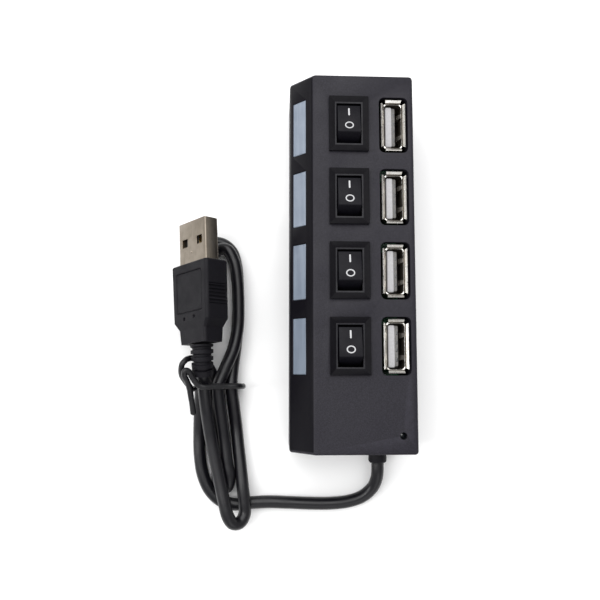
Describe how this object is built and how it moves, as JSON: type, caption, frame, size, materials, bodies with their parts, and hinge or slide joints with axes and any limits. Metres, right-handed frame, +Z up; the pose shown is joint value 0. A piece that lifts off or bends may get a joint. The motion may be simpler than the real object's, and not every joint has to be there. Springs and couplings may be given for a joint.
{
  "type": "usb hub",
  "caption": "Bar-shaped USB hub: a row of ports, each with a rocker switch and a light window, and a short captive cable tied in a bundle that ends in its plug.",
  "frame": {"origin": "middle of the bottom cover's underside, without the cord", "axes": "+Z up out of the face with the ports and switches, +Y along the hub away from the cable, +X from the slanted window side to the port side"},
  "size_m": [0.0653, 0.1218, 0.0273],
  "materials": {
    "case_black": "finely textured dark grey-black moulded plastic",
    "switch_black": "satin black moulded plastic",
    "plated_steel": "nickel-plated sheet steel",
    "brass": "plain stamped brass",
    "white_plastic": "off-white moulded plastic",
    "frosted_window": "frosted translucent plastic, unlit",
    "board_green": "green solder mask",
    "chip_black": "black moulded package",
    "led_clear": "clear blue-tinted epoxy",
    "cable_black": "glossy black PVC jacket",
    "plug_black": "matte black moulded PVC",
    "tie_black": "plastic-coated wire"
  },
  "bodies": {
    "root": {"top_case": "case_black", "bottom_cover": "case_black", "switch_housing_1": "switch_black", "switch_terminal_middle_1": "brass", "switch_terminal_end_1": "brass", "port_shell_1": "plated_steel", "port_tongue_1": "white_plastic", "led_window_1": "frosted_window", "led_1": "led_clear", "cover_screw_1": "plated_steel", "switch_housing_2": "switch_black", "switch_terminal_middle_2": "brass", "switch_terminal_end_2": "brass", "port_shell_2": "plated_steel", "port_tongue_2": "white_plastic", "led_window_2": "frosted_window", "led_2": "led_clear", "cover_screw_2": "plated_steel", "switch_housing_3": "switch_black", "switch_terminal_middle_3": "brass", "switch_terminal_end_3": "brass", "port_shell_3": "plated_steel", "port_tongue_3": "white_plastic", "led_window_3": "frosted_window", "led_3": "led_clear", "cover_screw_3": "plated_steel", "switch_housing_4": "switch_black", "switch_terminal_middle_4": "brass", "switch_terminal_end_4": "brass", "port_shell_4": "plated_steel", "port_tongue_4": "white_plastic", "led_window_4": "frosted_window", "led_4": "led_clear", "cover_screw_4": "plated_steel", "power_led": "led_clear", "circuit_board": "board_green", "hub_controller_chip": "chip_black", "crystal_oscillator": "plated_steel", "filter_capacitor_1": "chip_black", "filter_capacitor_2": "chip_black", "cable_collar": "cable_black", "cable_run": "cable_black", "cable_hank": "cable_black", "plug_overmould": "plug_black", "plug_shell": "plated_steel", "plug_insulator": "white_plastic", "plug_strain_relief": "plug_black", "twist_tie": "tie_black"},
    "rocker_1": {"rocker_1": "switch_black"},
    "switch_blade_1": {"switch_blade_1": "brass"},
    "rocker_2": {"rocker_2": "switch_black"},
    "switch_blade_2": {"switch_blade_2": "brass"},
    "rocker_3": {"rocker_3": "switch_black"},
    "switch_blade_3": {"switch_blade_3": "brass"},
    "rocker_4": {"rocker_4": "switch_black"},
    "switch_blade_4": {"switch_blade_4": "brass"}
  },
  "joints": [
    {"name": "rocker_1_tilt", "type": "hinge", "parent": "root", "child": "rocker_1", "pos_m": [-0.00095, 0.03651, 0.0216], "axis": [1, 0, 0], "range_deg": [0, 24]},
    {"name": "switch_blade_1_tilt", "type": "hinge", "parent": "root", "child": "switch_blade_1", "pos_m": [-0.00095, 0.03651, 0.0175], "axis": [1, 0, 0], "range_deg": [-9.6, 0]},
    {"name": "rocker_2_tilt", "type": "hinge", "parent": "root", "child": "rocker_2", "pos_m": [-0.00095, 0.01687, 0.0216], "axis": [1, 0, 0], "range_deg": [0, 24]},
    {"name": "switch_blade_2_tilt", "type": "hinge", "parent": "root", "child": "switch_blade_2", "pos_m": [-0.00095, 0.01687, 0.0175], "axis": [1, 0, 0], "range_deg": [-9.6, 0]},
    {"name": "rocker_3_tilt", "type": "hinge", "parent": "root", "child": "rocker_3", "pos_m": [-0.00095, -0.00277, 0.0216], "axis": [1, 0, 0], "range_deg": [0, 24]},
    {"name": "switch_blade_3_tilt", "type": "hinge", "parent": "root", "child": "switch_blade_3", "pos_m": [-0.00095, -0.00277, 0.0175], "axis": [1, 0, 0], "range_deg": [-9.6, 0]},
    {"name": "rocker_4_tilt", "type": "hinge", "parent": "root", "child": "rocker_4", "pos_m": [-0.00095, -0.02241, 0.0216], "axis": [1, 0, 0], "range_deg": [0, 24]},
    {"name": "switch_blade_4_tilt", "type": "hinge", "parent": "root", "child": "switch_blade_4", "pos_m": [-0.00095, -0.02241, 0.0175], "axis": [1, 0, 0], "range_deg": [-9.6, 0]}
  ],
  "couplings": [
    {"joint": "switch_blade_1_tilt", "follows": "rocker_1_tilt", "ratio": -0.4},
    {"joint": "switch_blade_2_tilt", "follows": "rocker_2_tilt", "ratio": -0.4},
    {"joint": "switch_blade_3_tilt", "follows": "rocker_3_tilt", "ratio": -0.4},
    {"joint": "switch_blade_4_tilt", "follows": "rocker_4_tilt", "ratio": -0.4}
  ]
}
